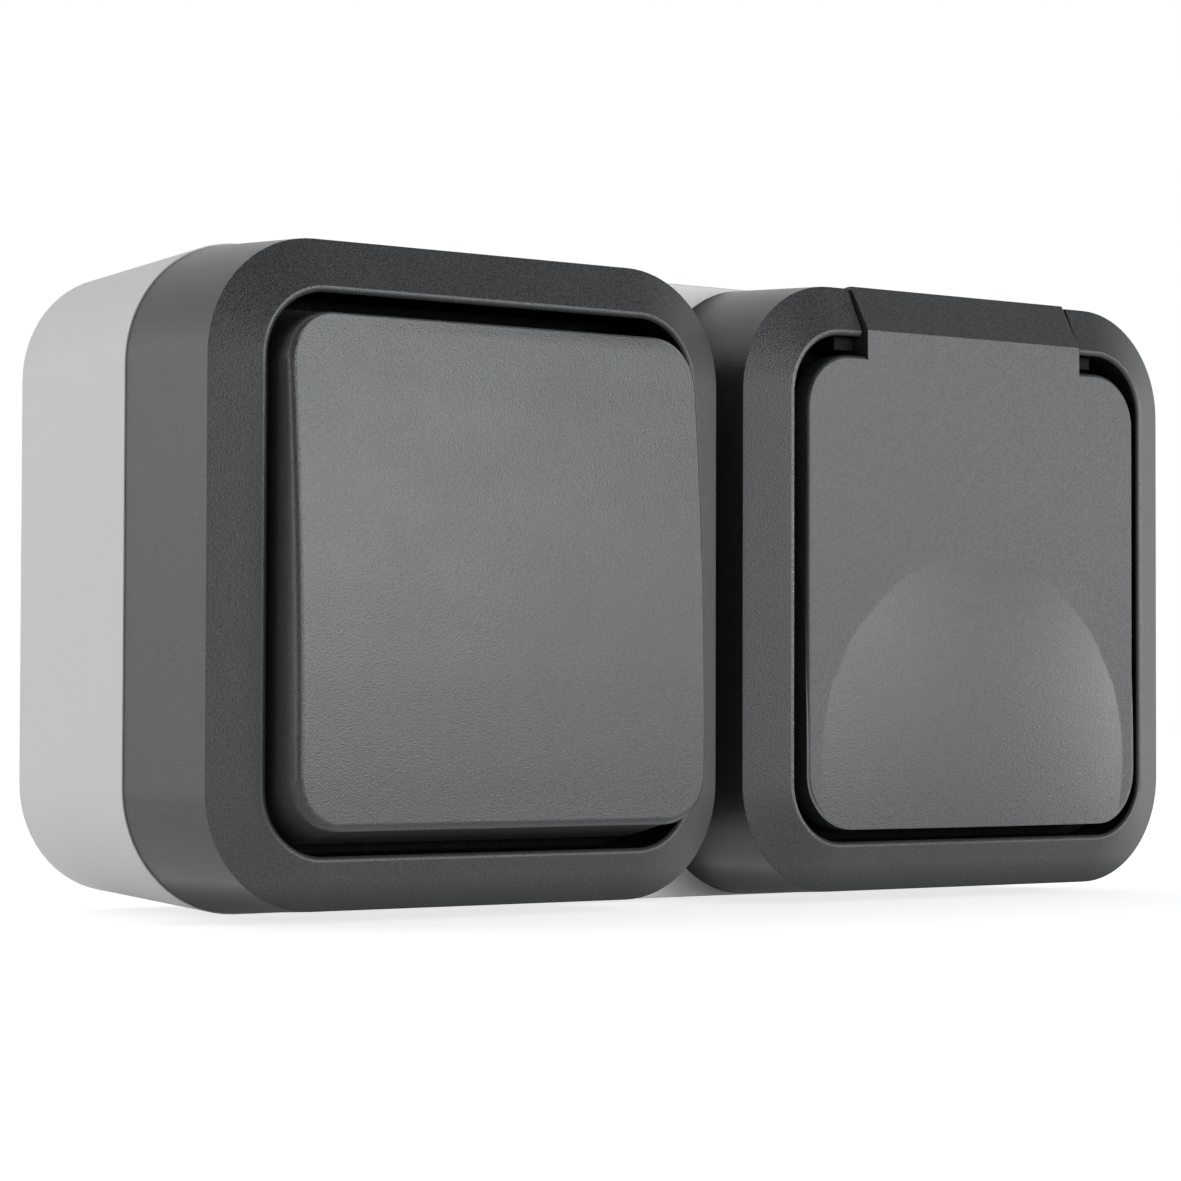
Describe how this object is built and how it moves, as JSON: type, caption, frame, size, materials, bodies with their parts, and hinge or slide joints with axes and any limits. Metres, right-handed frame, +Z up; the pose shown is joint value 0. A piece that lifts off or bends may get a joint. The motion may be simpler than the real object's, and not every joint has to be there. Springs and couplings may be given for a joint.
{
  "type": "weatherproof switch and socket combination",
  "caption": "Surface-mounted weatherproof double box with a rocker switch beside a spring-lidded earthed socket outlet, both behind bevelled cover frames.",
  "frame": {"origin": "centre of the box's back face, on the wall", "axes": "+X to the right, +Y into the wall, +Z up the wall, so the front faces -Y"},
  "size_m": [0.1488, 0.0512, 0.0772],
  "materials": {
    "pale_grey_plastic": "fine matt",
    "dark_grey_plastic": "fine spark-eroded matt",
    "seal_rubber": "matt",
    "insert_plastic": "matt",
    "contact_brass": "plain",
    "plated_steel": "zinc plated"
  },
  "bodies": {
    "housing": {"base_box": "pale_grey_plastic", "switch_cable_grommet": "seal_rubber", "socket_cable_grommet": "seal_rubber", "switch_cover_seal": "seal_rubber", "socket_cover_seal": "seal_rubber", "switch_cover": "dark_grey_plastic", "switch_membrane": "seal_rubber", "switch_insert_body": "insert_plastic", "common_terminal": "contact_brass", "upper_contact": "contact_brass", "lower_contact": "contact_brass", "switch_terminal_screws": "plated_steel", "switch_insert_screws": "plated_steel", "switch_cover_screws": "plated_steel", "socket_insert_body": "insert_plastic", "left_live_contact": "contact_brass", "right_live_contact": "contact_brass", "earth_bracket": "contact_brass", "socket_terminal_screws": "plated_steel", "socket_insert_screws": "plated_steel", "socket_centre_plate": "dark_grey_plastic", "plate_screw": "plated_steel", "lid_seal": "seal_rubber", "socket_cover": "dark_grey_plastic", "hinge_pin": "plated_steel", "lid_spring": "plated_steel"},
    "rocker": {"rocker": "dark_grey_plastic"},
    "actuator": {"actuator": "insert_plastic", "plunger": "insert_plastic", "plunger_spring": "plated_steel"},
    "contact_lever": {"contact_lever": "contact_brass"},
    "lid": {"socket_lid": "dark_grey_plastic"}
  },
  "joints": [
    {"name": "rocker_tilt", "type": "hinge", "parent": "housing", "child": "rocker", "pos_m": [-0.0377, -0.043, 0], "axis": [1, 0, 0], "range_deg": [0, 4.8], "deforming": ["switch_membrane"]},
    {"name": "actuator_tilt", "type": "hinge", "parent": "housing", "child": "actuator", "pos_m": [-0.0377, -0.027, 0], "axis": [1, 0, 0], "range_deg": [0, 4.8]},
    {"name": "contact_tilt", "type": "hinge", "parent": "housing", "child": "contact_lever", "pos_m": [-0.0377, -0.0125, 0], "axis": [1, 0, 0], "range_deg": [-15.12, 0]},
    {"name": "lid_hinge", "type": "hinge", "parent": "housing", "child": "lid", "pos_m": [0.0377, -0.0435, 0.0335], "axis": [-1, 0, 0], "range_deg": [0, 105], "stiffness_Nm_per_rad": 0.012, "springref_deg": -51.57, "deforming": ["lid_spring"]}
  ],
  "couplings": [
    {"joint": "actuator_tilt", "follows": "rocker_tilt", "ratio": 1},
    {"joint": "contact_tilt", "follows": "rocker_tilt", "ratio": -3.15}
  ]
}
